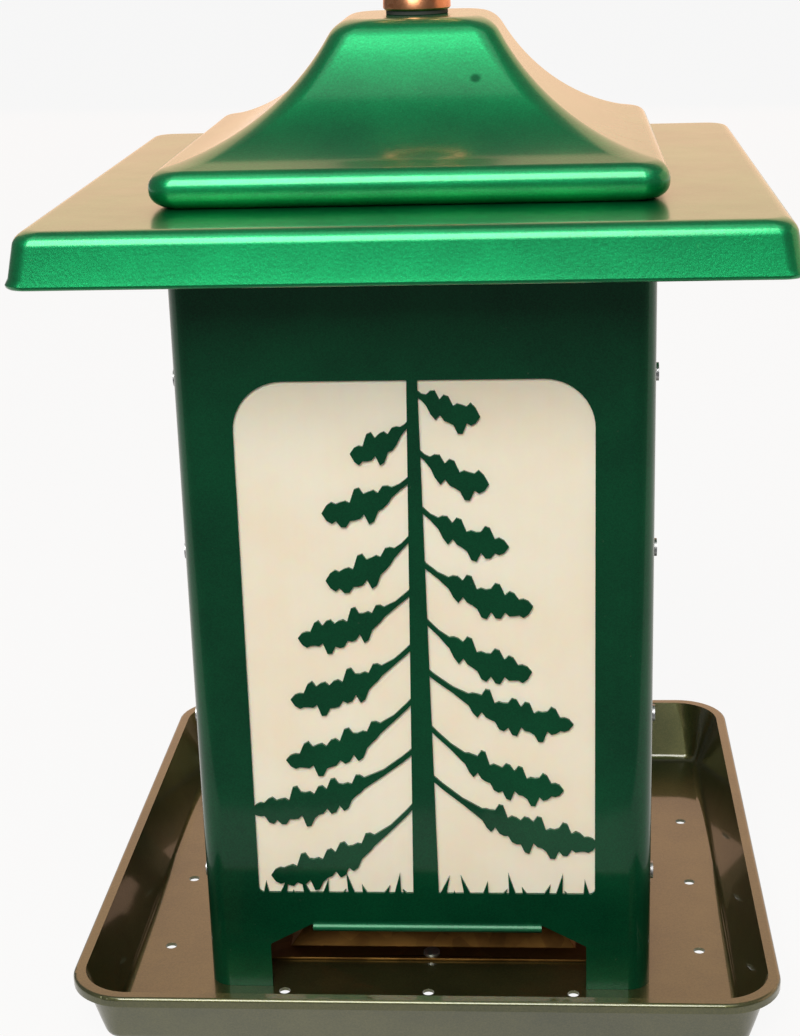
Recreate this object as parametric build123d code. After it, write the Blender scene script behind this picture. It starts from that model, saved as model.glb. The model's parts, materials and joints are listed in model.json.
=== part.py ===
"""Square metal bird feeder: a pierced hopper on a drained seed tray, under a lift-off ogee roof."""
import math
import os

from build123d import *

# Driving dimensions, in millimetres. A height is measured from the tray's floor.

# Seed tray
TRAY_WIDTH = 239.0
TRAY_DEPTH = 248.0
TRAY_SHEET = 1.2
TRAY_RIM_HEIGHT = 23.0
TRAY_RIM_WIDTH = 7.0
TRAY_RIM_TURN = 3.4
TRAY_WALL_LEAN = 8.0
TRAY_CORNER = 20.0
TRAY_BEND = 5.0
BOSS_RADIUS = 19.0
BOSS_RISE = 8.0
DRAIN_RADIUS = 2.0
DRAIN_PITCH = 51.0
DRAIN_EDGE = 7.5
DRAIN_TO_PANEL = 0.8

# Hopper body
BODY_WIDTH = 156.0
BODY_HEIGHT = 276.0
BODY_SHEET = 1.0
BODY_CORNER = 8.0
SEAM_GAP = 0.2
SEAM_LAP = 11.0
JOGGLE = 3.0

# Window and feed port in each face of the hopper
WINDOW_WIDTH = 117.0
WINDOW_SILL = 37.5
WINDOW_TOP = 221.5
WINDOW_CORNER = 16.5
SILL_CORNER = 2.0
PORT_WIDTH = 111.0
PORT_HEIGHT = 25.0
PORT_CUT_WIDTH = 15.0
PORT_CUT_HEIGHT = 8.0

# Conifer left standing in each window
TRUNK_BASE = 9.0
TRUNK_TOP = 3.4
TIERS = 8
TREE_CROWN_GAP = 3.0
TREE_SKIRT = 38.0
TOP_REACH = 20.0
LOW_REACH = 60.0
BOUGH_FALL = 0.5
BOUGH_BEND = 2.2
BOUGH_STEM = 2.2
STEM_SHARE = 0.34
CLUMP_DEPTH = 11.0
NEEDLE_PITCH = 4.4
NEEDLE_LENGTH = 2.6
GRASS_BLADES = 23
GRASS_HEIGHT = 8.0
GRASS_BASE = 3.2
FRAME_OVERLAP = 3.0

# Window panes and the channels that hold them
PANE_SHEET = 1.5
PANE_CLEAR = 0.5
PANE_TOP_LAP = 10.0
PANE_PLAY = 0.2
CHANNEL_WIDTH = 4.5
CHANNEL_LIP = 4.0
CHANNEL_SHEET = 1.0
CHANNEL_SILL = 2.4

# Roof
ROOF_WIDTH = 238.0
ROOF_LIP = 17.0
ROOF_LEAN = 2.4
ROOF_SHEET = 1.2
ROOF_EDGE = 5.0
ROOF_HEM = 3.0
ROOF_CORNER = 9.0
DOME_WIDTH = 163.0
DOME_HEIGHT = 52.6
DOME_SHEET = 1.2
DOME_CORNER = 8.0
BEAD_HEIGHT = 9.8
BEAD_ROUND = 4.5
SHOULDER_WIDTH = 57.0
CROWN_RISE = 5.0
FLARE_TURN = 47.0
FLARE_STEPS = 6
CROWN_STEPS = 3
DOME_FLANGE = 14.0
COLLAR_DEPTH = 10.0
COLLAR_SHEET = 1.0
COLLAR_FLANGE = 13.0
COLLAR_PLAY = 0.6

# Hanging gear
ROD_RADIUS = 2.5
ROD_TAIL = 6.6
ROD_ENGAGE = 10.0
THREAD_PLAY = 0.05
HOLE_PLAY = 1.5
WASHER_RADIUS = 8.0
WASHER_SHEET = 1.2
NUT_ACROSS = 8.0
NUT_HEIGHT = 4.0
BRIDGE_WIDTH = 22.0
BRIDGE_SHEET = 2.0
BRIDGE_DROP = 13.0
BRIDGE_FLANGE = 14.0
SEAL_RADIUS = 10.5
SEAL_SHEET = 1.5
EYE_FOOT_RADIUS = 11.5
EYE_FOOT_HEIGHT = 5.0
EYE_NECK_RADIUS = 7.5
EYE_NECK_HEIGHT = 16.0
EYE_BORE_RADIUS = 10.0
EYE_RING_WALL = 6.0
EYE_RING_SHEET = 7.0
EYE_EDGE = 2.0

# Seed baffle, leg brackets and rivets
BAFFLE_WIDTH = 120.0
BAFFLE_FLANGE = 7.0
BAFFLE_TOP = 28.0
BAFFLE_HEIGHT = 45.0
BAFFLE_SHEET = 1.0
BRACKET_WIDTH = 12.0
BRACKET_LEG = 14.0
BRACKET_CLEAR = 3.0
BRACKET_SHEET = 1.0
RIVET_RADIUS = 1.6
RIVET_HEAD = 3.0
RIVET_DOME = 1.1
RIVET_PLAY = 0.05
SEAM_RIVETS = 4
SEAM_RIVET_FIRST = 40.0
SEAM_RIVET_PITCH = 60.0
ROOF_RIVETS_PER_SIDE = 3

# Levels and half sizes that several pieces share
FLOOR = TRAY_SHEET
BODY_HALF = BODY_WIDTH / 2
BODY_INNER = BODY_HALF - BODY_SHEET
FLAT_HALF = BODY_HALF - BODY_CORNER
TAB_INNER = BODY_INNER - BODY_SHEET
CHANNEL_HALF = FLAT_HALF - PANE_CLEAR
BODY_TOP = FLOOR + BODY_HEIGHT
ROOF_TOP = BODY_TOP + ROOF_SHEET
CROWN_TOP = ROOF_TOP + DOME_HEIGHT
EYE_BASE = CROWN_TOP + SEAL_SHEET
ROD_TOP = EYE_BASE + ROD_ENGAGE
BOSS_UNDER = FLOOR + BOSS_RISE - TRAY_SHEET
COLLAR_HALF = TAB_INNER - COLLAR_PLAY
COLLAR_LOW = BODY_TOP - COLLAR_DEPTH
BRIDGE_TOP = BODY_TOP - BRIDGE_DROP
BRIDGE_LOW = BRIDGE_TOP - BRIDGE_SHEET
ROOF_RIVET_LINE = COLLAR_HALF - COLLAR_FLANGE / 2
SEAM_LINE = (FLAT_HALF + WINDOW_WIDTH / 2) / 2
BRACKET_FOOT = BODY_INNER - BRACKET_CLEAR - BAFFLE_WIDTH / 2
FACE_TURNS = {"front": 0, "right": 90, "back": 180, "left": 270}


def rounded_block(width, depth, corner, low, high):
    """A rounded-rectangle block between two levels."""
    return extrude(Pos(0, 0, low) * RectangleRounded(width, depth, corner), high - low)


def leaning_block(width, depth, corner, low, high, lean):
    """A rounded-rectangle block whose top is smaller all round by lean (larger where lean is negative)."""
    draft = math.degrees(math.atan2(lean, high - low))
    return extrude(Pos(0, 0, low) * RectangleRounded(width, depth, corner), high - low, taper=draft)


def post(radius, low, high, x=0.0, y=0.0):
    """A round upright between two levels."""
    return Pos(x, y, (low + high) / 2) * Cylinder(radius, high - low)


def plate(x_span, y_span, z_span):
    """A rectangular plate given by its spans along X, Y and Z."""
    spans = (x_span, y_span, z_span)
    middle = [(low + high) / 2 for low, high in spans]
    return Pos(*middle) * Box(*[high - low for low, high in spans])


def turned(shape, angle):
    """A shape turned about the feeder's upright axis."""
    return Rot(0, 0, angle) * shape


def combined(solids):
    """Separate solids kept in one group."""
    return Compound(children=list(solids))


# Seed tray

def tray_rim_half():
    """Half sizes of the tray where its wall meets the rim."""
    return TRAY_WIDTH / 2 - TRAY_RIM_WIDTH, TRAY_DEPTH / 2 - TRAY_RIM_WIDTH


def tray_dish(inset, low):
    """The leaning dish inside the rim, drawn in by a sheet thickness where inset is given."""
    half_x, half_y = tray_rim_half()
    rim = FLOOR + TRAY_RIM_HEIGHT
    corner = TRAY_CORNER - TRAY_RIM_WIDTH - TRAY_WALL_LEAN
    width = 2 * (half_x - TRAY_WALL_LEAN - inset)
    depth = 2 * (half_y - TRAY_WALL_LEAN - inset)
    dish = leaning_block(width, depth, corner, low, rim, -TRAY_WALL_LEAN)
    bottom = dish.faces().sort_by(Axis.Z)[0]
    return fillet(bottom.edges(), min(TRAY_BEND - inset, 0.9 * corner))


def drain_points():
    """Places of the drain holes: rows before the feed ports and columns along the side walls."""
    row = BODY_HALF + DRAIN_TO_PANEL + DRAIN_RADIUS
    column = tray_rim_half()[0] - TRAY_WALL_LEAN - DRAIN_EDGE
    for step in (-1, 0, 1):
        for side in (-1, 1):
            yield step * DRAIN_PITCH, side * row
            yield side * column, step * DRAIN_PITCH


def tray():
    """Pressed tray: leaning walls, a turned-down rim, a raised centre boss and drain holes."""
    rim_top = FLOOR + TRAY_RIM_HEIGHT
    brim = rounded_block(TRAY_WIDTH, TRAY_DEPTH, TRAY_CORNER, rim_top - TRAY_RIM_TURN, rim_top)
    brim = fillet(brim.faces().sort_by(Axis.Z)[-1].edges(), TRAY_SHEET)
    under_width = TRAY_WIDTH - 2 * TRAY_SHEET
    under_depth = TRAY_DEPTH - 2 * TRAY_SHEET
    brim -= rounded_block(under_width, under_depth, TRAY_CORNER - TRAY_SHEET,
                          rim_top - TRAY_RIM_TURN, rim_top - TRAY_SHEET)
    body = tray_dish(0, 0) + brim
    body -= tray_dish(TRAY_SHEET, FLOOR)
    body += post(BOSS_RADIUS, 0, FLOOR + BOSS_RISE)
    body -= post(BOSS_RADIUS - TRAY_SHEET, 0, BOSS_UNDER)
    body -= post(ROD_RADIUS + HOLE_PLAY, 0, FLOOR + BOSS_RISE)
    holes = [post(DRAIN_RADIUS, 0, FLOOR, x, y) for x, y in drain_points()]
    holes += [post(RIVET_RADIUS + RIVET_PLAY, 0, FLOOR, x, y) for x, y in floor_rivet_points()]
    return body - holes


# Conifer window

def bough_point(side, root, reach, fall, share):
    """A point on a bough's middle line, which leaves the trunk steeply and flattens towards its tip."""
    return side * reach * share, root - fall * reach * (1 - (1 - share) ** BOUGH_BEND)


def bough_edge(side, root, reach, fall, facing):
    """Upper or lower edge of a bough, from the trunk outwards: a thin bent stem, then a clump of needles."""
    size = reach / LOW_REACH
    stem = STEM_SHARE * size ** 0.5
    edge = []
    for share in (0, stem / 3, stem * 2 / 3):
        x, z = bough_point(side, root, reach, fall, share)
        edge.append((x, z + facing * BOUGH_STEM / 2))
    count = max(3, round(reach * (1 - stem) / NEEDLE_PITCH))
    swell = (CLUMP_DEPTH * size ** 0.35 - BOUGH_STEM) / 2
    for needle in range(count):
        sway = math.sin(2.4 * needle + root + 2 * facing)
        for part, out in ((0, 0), (0.3, NEEDLE_LENGTH), (0.66, NEEDLE_LENGTH)):
            along = (needle + part) / count
            body = math.sin(math.pi * (0.06 + 0.94 * along)) ** 0.7
            out *= (0.7 + 0.3 * sway) * min(1, 4 * (1 - along), 0.4 + 4 * along)
            x, z = bough_point(side, root, reach, fall, stem + (1 - stem) * along)
            half = BOUGH_STEM / 2 + swell * body * (0.72 + 0.28 * sway)
            edge.append((x, z + facing * (half + out)))
    return edge


def bough(side, root, reach, fall):
    """One drooping bough with its clump of needles."""
    tip = bough_point(side, root, reach, fall, 1)
    upper = bough_edge(side, root, reach, fall, 1)
    lower = bough_edge(side, root, reach, fall, -1)
    return make_face(Polyline(*upper, tip, *reversed(lower), close=True).edges())


def trunk():
    """The tapering trunk, from below the sill to above the window's top edge."""
    low = WINDOW_SILL - FRAME_OVERLAP
    high = WINDOW_TOP + FRAME_OVERLAP
    corners = [(-TRUNK_BASE / 2, low), (TRUNK_BASE / 2, low), (TRUNK_TOP / 2, high), (-TRUNK_TOP / 2, high)]
    return make_face(Polyline(*corners, close=True).edges())


def grass_blade(index):
    """One blade of grass on the sill; its height and lean follow a slow wave along the row."""
    pitch = WINDOW_WIDTH / GRASS_BLADES
    x = -WINDOW_WIDTH / 2 + pitch * (index + 0.5)
    tall = GRASS_HEIGHT * (0.55 + 0.45 * math.sin(2.3 * index))
    tip = x + GRASS_BASE * math.sin(1.7 * index)
    low = WINDOW_SILL - FRAME_OVERLAP
    corners = [(x - GRASS_BASE / 2, low), (x + GRASS_BASE / 2, low), (tip, WINDOW_SILL + tall)]
    return make_face(Polyline(*corners, close=True).edges())


def conifer():
    """The tree: trunk, staggered tiers of boughs that lengthen downwards, and grass."""
    high = WINDOW_TOP - TREE_CROWN_GAP
    low = WINDOW_SILL + TREE_SKIRT
    spacing = (high - low) / (TIERS - 0.5)
    shapes = [trunk()]
    for tier in range(TIERS):
        for side in (-1, 1):
            stagger = 0.5 if side < 0 else 0.0
            share = (tier + stagger) / (TIERS - 0.5)
            sway = math.sin(2.6 * tier + side)
            reach = (TOP_REACH + (LOW_REACH - TOP_REACH) * share) * (1 + 0.1 * sway)
            fall = BOUGH_FALL * (1 - 0.16 * sway)
            shapes.append(bough(side, high - (tier + stagger) * spacing, reach, fall))
    shapes += [grass_blade(index) for index in range(GRASS_BLADES)]
    return Sketch() + shapes


def window_outline():
    """Window cut-out: wide round corners at the top, nearly square ones at the sill."""
    height = WINDOW_TOP - WINDOW_SILL
    sheet = Pos(0, WINDOW_SILL + height / 2) * Rectangle(WINDOW_WIDTH, height)
    tops = sheet.vertices().group_by(Axis.Y)[-1]
    sheet = fillet(tops, WINDOW_CORNER)
    return fillet(sheet.vertices().group_by(Axis.Y)[0], SILL_CORNER)


def port_outline():
    """Feed port: open at the floor, with its upper corners cut off."""
    half = PORT_WIDTH / 2
    flat = half - PORT_CUT_WIDTH
    shoulder = PORT_HEIGHT - PORT_CUT_HEIGHT
    right = [(half, 0), (half, shoulder), (flat, PORT_HEIGHT)]
    corners = right + [(-x, z) for x, z in reversed(right)]
    return make_face(Polyline(*corners, close=True).edges())


def face_cutter():
    """What is pierced through the front face: the window around its tree, and the feed port."""
    pierced = (window_outline() - conifer()).faces() + [port_outline()]
    front = Plane(origin=(0, -TAB_INNER, FLOOR), x_dir=(1, 0, 0), z_dir=(0, -1, 0))
    return [extrude(front * face, BODY_HALF) for face in pierced]


# Hopper body

def body_section():
    """Plan section of the whole sheet-metal sleeve."""
    inner = BODY_WIDTH - 2 * BODY_SHEET
    sleeve = RectangleRounded(BODY_WIDTH, BODY_WIDTH, BODY_CORNER)
    return sleeve - RectangleRounded(inner, inner, BODY_CORNER - BODY_SHEET)


def seam_rivet_levels():
    """Levels of the rivets along each upright seam."""
    return [FLOOR + SEAM_RIVET_FIRST + SEAM_RIVET_PITCH * row for row in range(SEAM_RIVETS)]


def side_rivet(level, y, inner):
    """A rivet through the right-hand side wall, headed outside and flush at its inner end."""
    shank = Rot(0, 90, 0) * Cylinder(RIVET_RADIUS, BODY_HALF - inner)
    head = Rot(0, 90, 0) * Cylinder(RIVET_HEAD, RIVET_DOME)
    rivet = Pos((BODY_HALF + inner) / 2, y, level) * shank
    return rivet + Pos(BODY_HALF + RIVET_DOME / 2, y, level) * head


def side_holes():
    """Rivet holes through the right-hand wall and the tabs behind it."""
    points = [(level, side * SEAM_LINE) for level in seam_rivet_levels() for side in (-1, 1)]
    points += [(bridge_rivet_level(), side * BRIDGE_WIDTH / 4) for side in (-1, 1)]
    hole = Rot(0, 90, 0) * Cylinder(RIVET_RADIUS + RIVET_PLAY, BODY_CORNER)
    return [Pos(BODY_INNER, y, level) * hole for level, y in points]


def wrap_panel(cutter):
    """Front panel: its face, both rounded corners and the joggled tabs that lie inside the side walls."""
    cut = Pos(0, -BODY_HALF) * Rectangle(BODY_WIDTH, 2 * BODY_CORNER)
    section = body_section() & cut
    tab_length = SEAM_LAP + JOGGLE
    middle = (BODY_INNER + TAB_INNER) / 2
    for side in (-1, 1):
        centre = -FLAT_HALF - JOGGLE + tab_length / 2
        section += Pos(side * middle, centre) * Rectangle(BODY_SHEET, tab_length)
    panel = extrude(Pos(0, 0, FLOOR) * section, BODY_HEIGHT)
    holes = side_holes() + [turned(hole, 180) for hole in side_holes()]
    return panel - cutter - holes


def flat_panel(cutter):
    """Side panel, facing front here: a flat sheet between the corners of the front and back panels."""
    half = FLAT_HALF - SEAM_GAP
    sheet = plate((-half, half), (-BODY_HALF, -BODY_INNER), (FLOOR, BODY_TOP))
    return sheet - cutter - [turned(hole, -90) for hole in side_holes()]


def seam_rivets():
    """All rivets of the four upright seams."""
    places = [(level, side * SEAM_LINE) for level in seam_rivet_levels() for side in (-1, 1)]
    right = [side_rivet(level, y, TAB_INNER) for level, y in places]
    return combined(right + [turned(rivet, 180) for rivet in right])


def pane_levels():
    """Lower and upper level of a window pane."""
    low = FLOOR + PORT_HEIGHT + CHANNEL_SILL + PANE_PLAY
    return low, FLOOR + WINDOW_TOP + PANE_TOP_LAP


def window_pane(seat):
    """Translucent pane behind the front window; seat is the face that it lies against."""
    half = CHANNEL_HALF - CHANNEL_WIDTH - PANE_PLAY
    return plate((-half, half), (-seat, PANE_SHEET - seat), pane_levels())


def pane_channel(seat):
    """U-shaped channel round a pane's sides and foot: a spacer beside it and a lip over its edge."""
    low, high = pane_levels()
    bottom = low - PANE_PLAY - CHANNEL_SILL
    outside = CHANNEL_HALF
    inside = outside - CHANNEL_WIDTH
    lip_inside = inside - CHANNEL_LIP
    back = PANE_SHEET + PANE_PLAY - seat
    spacer = plate((-outside, outside), (-seat, back), (bottom, high))
    spacer -= plate((-inside, inside), (-seat, back), (bottom + CHANNEL_SILL, high))
    lip = plate((-outside, outside), (back, back + CHANNEL_SHEET), (bottom, high))
    lip -= plate((-lip_inside, lip_inside), (back, back + CHANNEL_SHEET), (low + CHANNEL_LIP, high))
    return spacer + lip


# Hanging gear inside the hopper

def bridge_rivet_level():
    """Level of the rivets that hold the bridge's end flanges."""
    return BRIDGE_TOP - BRIDGE_FLANGE / 2


def bridge_bar():
    """Strap across the hopper's top, bent down at both ends, that the rod passes through."""
    across = (-BRIDGE_WIDTH / 2, BRIDGE_WIDTH / 2)
    bar = plate((-BODY_INNER, BODY_INNER), across, (BRIDGE_LOW, BRIDGE_TOP))
    for side in (-1, 1):
        span = sorted((side * BODY_INNER, side * (BODY_INNER - BRIDGE_SHEET)))
        bar += plate(span, across, (BRIDGE_TOP - BRIDGE_FLANGE, BRIDGE_TOP))
    bends = bar.edges().filter_by(Axis.Y).group_by(Axis.Z)[-1]
    bar = fillet(bends, BRIDGE_SHEET * 0.9)
    bar -= post(ROD_RADIUS + HOLE_PLAY / 2, BRIDGE_LOW, BRIDGE_TOP)
    holes = side_holes() + [turned(hole, 180) for hole in side_holes()]
    return bar - holes


def bridge_rivets():
    """Rivets that hold the bridge to the two side walls."""
    inner = BODY_INNER - BRIDGE_SHEET
    right = [side_rivet(bridge_rivet_level(), side * BRIDGE_WIDTH / 4, inner) for side in (-1, 1)]
    return combined(right + [turned(rivet, 180) for rivet in right])


def tie_rod():
    """Threaded rod from under the tray's boss to the hanging eye."""
    return post(ROD_RADIUS, BOSS_UNDER - ROD_TAIL, ROD_TOP)


def flat_washer(low):
    """Steel washer on the rod."""
    high = low + WASHER_SHEET
    return post(WASHER_RADIUS, low, high) - post(ROD_RADIUS + THREAD_PLAY, low, high)


def hex_nut(low):
    """Hexagon nut on the rod."""
    corner = NUT_ACROSS / math.sqrt(3)
    nut = extrude(Pos(0, 0, low) * RegularPolygon(corner, 6), NUT_HEIGHT)
    return nut - post(ROD_RADIUS + THREAD_PLAY, low, low + NUT_HEIGHT)


# Seed baffle and leg brackets

def baffle_shell(inset):
    """The baffle's pyramid, drawn in by a sheet thickness where inset is given."""
    foot = BAFFLE_WIDTH - 2 * BAFFLE_FLANGE
    draft = math.degrees(math.atan2((foot - BAFFLE_TOP) / 2, BAFFLE_HEIGHT))
    base = Pos(0, 0, FLOOR) * Rectangle(foot - 2 * inset, foot - 2 * inset)
    return extrude(base, BAFFLE_HEIGHT - inset, taper=draft)


def baffle_rivet_points():
    """Places of the rivets in the baffle's flange."""
    line = (BAFFLE_WIDTH - BAFFLE_FLANGE) / 2
    return [(line, 0), (-line, 0), (0, line), (0, -line)]


def seed_baffle():
    """Pyramid over the boss that turns the seed out to the four ports."""
    flange = plate(*[(-BAFFLE_WIDTH / 2, BAFFLE_WIDTH / 2)] * 2, (FLOOR, FLOOR + BAFFLE_SHEET))
    baffle = flange + baffle_shell(0) - baffle_shell(BAFFLE_SHEET)
    baffle -= post(ROD_RADIUS + HOLE_PLAY, FLOOR, FLOOR + BAFFLE_HEIGHT)
    hole = RIVET_RADIUS + RIVET_PLAY
    return baffle - [post(hole, FLOOR, FLOOR + BAFFLE_SHEET, x, y) for x, y in baffle_rivet_points()]


def bracket_middle():
    """Distance of a leg bracket's middle from the feeder's centre plane."""
    return (PORT_WIDTH / 2 + FLAT_HALF) / 2 + BODY_SHEET


def bracket_rivet_points():
    """Places of the rivets in the brackets' feet."""
    x = bracket_middle()
    y = BODY_INNER - BRACKET_FOOT * 0.6
    return [(sx * x, sy * y) for sx in (-1, 1) for sy in (-1, 1)]


def leg_bracket(x):
    """Small angle behind a leg of the front panel, with its foot on the tray's floor."""
    across = (x - BRACKET_WIDTH / 2, x + BRACKET_WIDTH / 2)
    leg = plate(across, (-BODY_INNER, BRACKET_SHEET - BODY_INNER), (FLOOR, FLOOR + BRACKET_LEG))
    foot = plate(across, (-BODY_INNER, BRACKET_FOOT - BODY_INNER), (FLOOR, FLOOR + BRACKET_SHEET))
    top = FLOOR + BRACKET_SHEET
    holes = [post(RIVET_RADIUS + RIVET_PLAY, FLOOR, top, *point) for point in bracket_rivet_points()]
    return leg + foot - holes


def leg_brackets():
    """The brackets behind the legs of the front and back panels."""
    front = [leg_bracket(side * bracket_middle()) for side in (-1, 1)]
    return combined(front + [turned(bracket, 180) for bracket in front])


def floor_rivet_points():
    """Places of every rivet through the tray's floor."""
    return baffle_rivet_points() + bracket_rivet_points()


def floor_rivets(points, grip):
    """Rivets flush under the tray's floor, with heads on top of what they hold."""
    top = FLOOR + grip
    high = top + RIVET_DOME
    return combined(post(RIVET_RADIUS, 0, top, x, y) + post(RIVET_HEAD, top, high, x, y) for x, y in points)


# Roof

def roof_form(inset):
    """The roof plate's pressed form, drawn in by a sheet thickness where inset is given."""
    width = ROOF_WIDTH - 2 * inset
    low = ROOF_TOP - ROOF_LIP
    form = leaning_block(width, width, ROOF_CORNER - inset, low, ROOF_TOP - inset, ROOF_LEAN)
    return fillet(form.faces().sort_by(Axis.Z)[-1].edges(), ROOF_EDGE - inset)


def roof_rivet_points():
    """Places of the rivets that join dome, plate and collar."""
    pitch = ROOF_RIVET_LINE * 2 / (ROOF_RIVETS_PER_SIDE + 1)
    points = []
    for step in range(ROOF_RIVETS_PER_SIDE):
        along = -ROOF_RIVET_LINE + pitch * (step + 1)
        points += [(along, ROOF_RIVET_LINE), (along, -ROOF_RIVET_LINE)]
        points += [(ROOF_RIVET_LINE, along), (-ROOF_RIVET_LINE, along)]
    return points


def roof_holes():
    """Rivet holes through the roof's three layers."""
    low = BODY_TOP - COLLAR_SHEET
    return [post(RIVET_RADIUS + RIVET_PLAY, low, ROOF_TOP + DOME_SHEET, x, y) for x, y in roof_rivet_points()]


def roof_plate():
    """Square roof plate with rounded edges and a leaning lip, hemmed by a fold on its inside."""
    low = ROOF_TOP - ROOF_LIP
    shell = roof_form(0) - roof_form(ROOF_SHEET)
    fold = roof_form(ROOF_SHEET) - roof_form(2 * ROOF_SHEET)
    shell += fold & rounded_block(ROOF_WIDTH, ROOF_WIDTH, ROOF_CORNER, low, low + ROOF_HEM)
    shell -= post(ROD_RADIUS + HOLE_PLAY * 2, BODY_TOP, ROOF_TOP)
    return shell - roof_holes()


def dome_profile():
    """Half width, level and outward normal along the dome, from the bead up to the crown."""
    start = (DOME_WIDTH / 2 - BEAD_ROUND, ROOF_TOP + BEAD_HEIGHT)
    end = (SHOULDER_WIDTH / 2, CROWN_TOP - CROWN_RISE)
    run = start[0] - end[0]
    rise = end[1] - start[1]
    chord_angle = math.atan2(rise, run)
    half_turn = math.radians(FLARE_TURN / 2)
    radius = math.hypot(run, rise) / (2 * math.sin(half_turn))
    foot_angle = chord_angle - half_turn
    shoulder_angle = chord_angle + half_turn
    points = []
    for step in range(FLARE_STEPS + 1):
        angle = foot_angle + (shoulder_angle - foot_angle) * step / FLARE_STEPS
        half = start[0] - radius * (math.sin(angle) - math.sin(foot_angle))
        level = start[1] + radius * (math.cos(foot_angle) - math.cos(angle))
        points.append((half, level, math.sin(angle), math.cos(angle)))
    crown_radius = CROWN_RISE / (1 - math.cos(shoulder_angle))
    for step in range(1, CROWN_STEPS + 1):
        angle = shoulder_angle * (1 - step / CROWN_STEPS)
        half = end[0] - crown_radius * (math.sin(shoulder_angle) - math.sin(angle))
        level = end[1] + crown_radius * (math.cos(angle) - math.cos(shoulder_angle))
        points.append((half, level, math.sin(angle), math.cos(angle)))
    return points


def dome_form(inset):
    """The dome's ogee loft on its rolled bead, drawn in by a sheet thickness where inset is given."""
    sections = []
    for half, level, out, up in dome_profile():
        width = 2 * (half - inset * out)
        outline = RectangleRounded(width, width, DOME_CORNER - inset)
        sections.append((Pos(0, 0, level - inset * up) * outline).face())
    ogee = loft(sections)
    width = DOME_WIDTH - 2 * inset
    bead = rounded_block(width, width, DOME_CORNER - inset, ROOF_TOP + inset, ROOF_TOP + BEAD_HEIGHT - inset)
    rims = bead.faces().sort_by(Axis.Z)[0].edges() + bead.faces().sort_by(Axis.Z)[-1].edges()
    return ogee + fillet(rims, BEAD_ROUND - inset)


def roof_dome():
    """Pressed ogee dome with a rolled bead at its foot and a flange turned in on the roof plate."""
    opening = DOME_WIDTH - 2 * (BEAD_ROUND + DOME_FLANGE)
    shell = dome_form(0) - dome_form(DOME_SHEET)
    shell -= rounded_block(opening, opening, DOME_CORNER, ROOF_TOP, ROOF_TOP + DOME_SHEET)
    shell -= post(ROD_RADIUS + HOLE_PLAY, ROOF_TOP, CROWN_TOP)
    return shell - roof_holes()


def roof_collar():
    """Square collar under the roof plate that drops inside the hopper and keeps the roof in place."""
    outer = 2 * COLLAR_HALF
    inner = outer - 2 * COLLAR_SHEET
    opening = outer - 2 * COLLAR_FLANGE
    collar = rounded_block(outer, outer, BODY_CORNER, COLLAR_LOW, BODY_TOP)
    collar -= rounded_block(inner, inner, BODY_CORNER - COLLAR_SHEET, COLLAR_LOW, BODY_TOP - COLLAR_SHEET)
    collar -= rounded_block(opening, opening, BODY_CORNER, COLLAR_LOW, BODY_TOP)
    return collar - roof_holes()


def roof_rivets():
    """Rivets through the dome's flange, the roof plate and the collar's flange."""
    low = BODY_TOP - COLLAR_SHEET
    high = ROOF_TOP + DOME_SHEET
    rivets = []
    for x, y in roof_rivet_points():
        rivet = post(RIVET_RADIUS, low, high, x, y) + post(RIVET_HEAD, low - RIVET_DOME, low, x, y)
        rivets.append(rivet + post(RIVET_HEAD, high, high + RIVET_DOME, x, y))
    return combined(rivets)


def crown_seal():
    """Soft washer between the dome's crown and the hanging eye."""
    return post(SEAL_RADIUS, CROWN_TOP, EYE_BASE) - post(ROD_RADIUS + HOLE_PLAY, CROWN_TOP, EYE_BASE)


def eye_centre():
    """Level of the middle of the hanging eye."""
    return EYE_BASE + EYE_NECK_HEIGHT + EYE_BORE_RADIUS


def hanging_eye():
    """Turned foot and neck with a flat-sided eye on top, screwed on the rod's upper end."""
    foot_top = EYE_BASE + EYE_FOOT_HEIGHT
    neck_top = EYE_BASE + EYE_NECK_HEIGHT
    foot = post(EYE_FOOT_RADIUS, EYE_BASE, foot_top)
    foot = fillet(foot.edges().group_by(Axis.Z)[-1], EYE_EDGE)
    neck = Cone(EYE_NECK_RADIUS, EYE_RING_SHEET / 2, neck_top - foot_top)
    neck = Pos(0, 0, (foot_top + neck_top) / 2) * neck
    ring = Rot(90, 0, 0) * Cylinder(EYE_BORE_RADIUS + EYE_RING_WALL, EYE_RING_SHEET)
    ring = fillet(ring.edges(), EYE_EDGE)
    eye = foot + neck + Pos(0, 0, eye_centre()) * ring
    eye -= Pos(0, 0, eye_centre()) * Rot(90, 0, 0) * Cylinder(EYE_BORE_RADIUS, EYE_FOOT_RADIUS * 2)
    return eye - post(ROD_RADIUS + THREAD_PLAY, EYE_BASE, ROD_TOP)


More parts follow.
